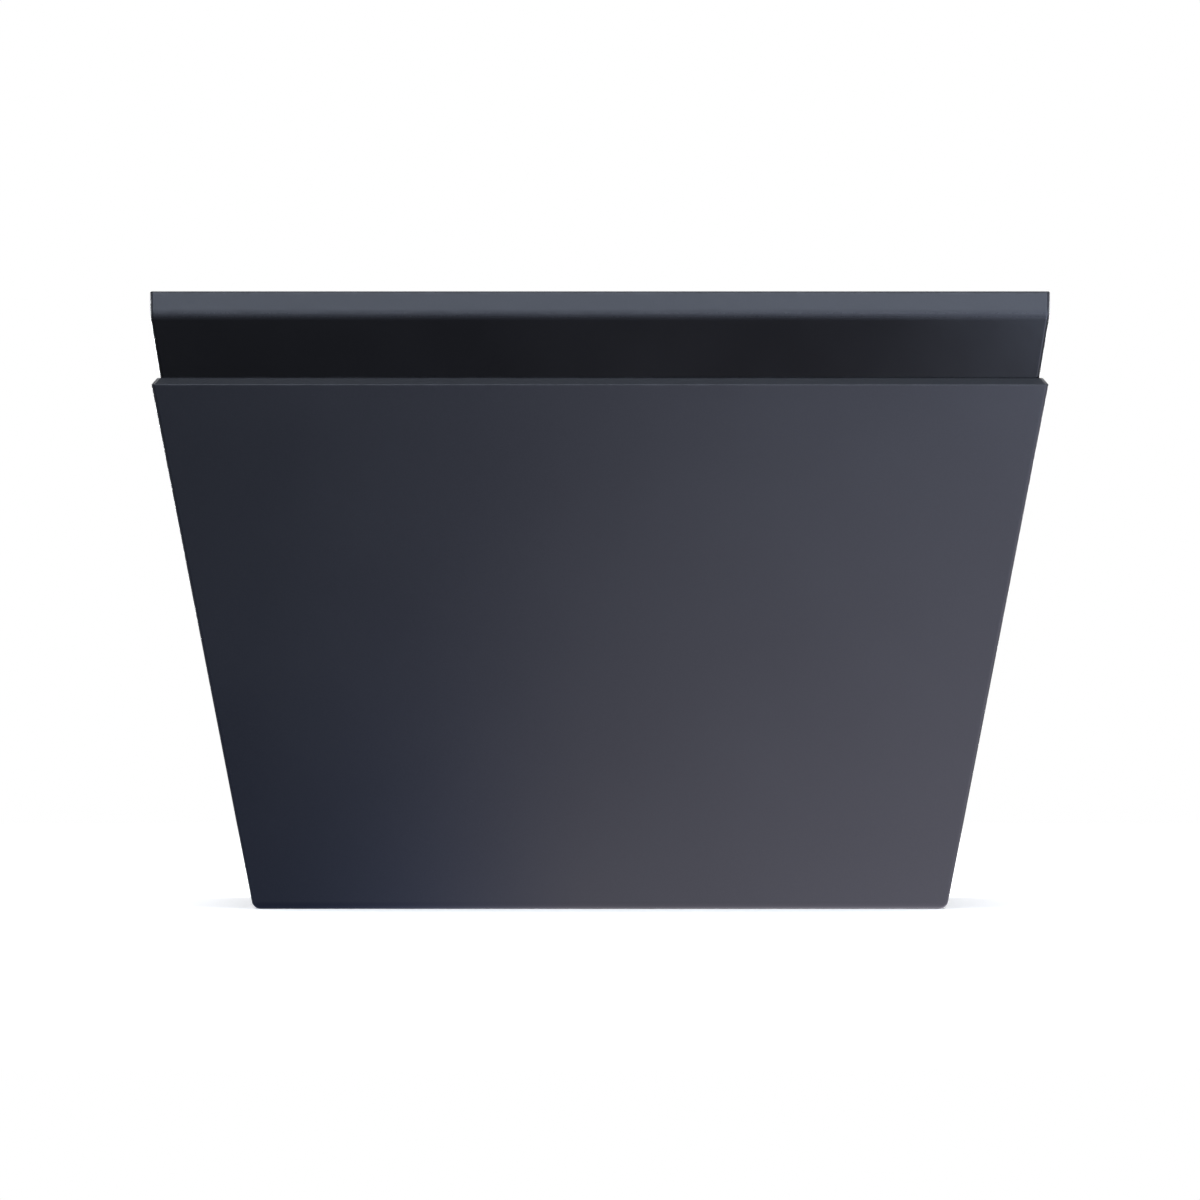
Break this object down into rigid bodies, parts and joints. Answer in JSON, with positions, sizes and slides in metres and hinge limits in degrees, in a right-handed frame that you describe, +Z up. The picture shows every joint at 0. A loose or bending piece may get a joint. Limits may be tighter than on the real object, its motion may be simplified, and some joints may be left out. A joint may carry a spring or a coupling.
{
  "type": "fence post cap",
  "caption": "Flared square post cap with a flat top plate, a recessed black neck and a tapered powder-coated body that sleeves over a square post.",
  "frame": {"origin": "middle of the bottom rim, on the plane that the rim lies in", "axes": "+Z up along the post's axis; front wall faces -Y; side fixing holes lie along X"},
  "size_m": [0.13, 0.13, 0.0895],
  "materials": {
    "powder_coat": "satin anthracite powder coat, fine texture",
    "neck_black": "smooth black, semi-gloss",
    "epdm": "matt black EPDM",
    "mill_aluminium": "mill finish sheet",
    "stainless": "plain stainless fixings",
    "zinc_steel": "bright zinc plate",
    "nylon": "natural nylon"
  },
  "bodies": {
    "root": {"body_shell": "powder_coat", "bracket_nuts": "stainless", "bracket_screws": "stainless", "lid_gasket": "epdm", "lid_pillars": "zinc_steel", "neck_ring": "neck_black", "pillar_screws": "stainless", "pillar_washers": "stainless", "post_pad": "epdm", "post_sleeve": "mill_aluminium", "rim_seal": "epdm", "screw_bush_left": "nylon", "screw_bush_right": "nylon", "seat_plate": "mill_aluminium", "sleeve_pad_front": "epdm", "sleeve_pad_left": "epdm", "sleeve_pad_rear": "epdm", "sleeve_pad_right": "epdm", "sleeve_rivets": "stainless", "top_plate": "powder_coat", "wall_bracket_front": "mill_aluminium", "wall_bracket_left": "mill_aluminium", "wall_bracket_rear": "mill_aluminium", "wall_bracket_right": "mill_aluminium"}
  },
  "joints": []
}
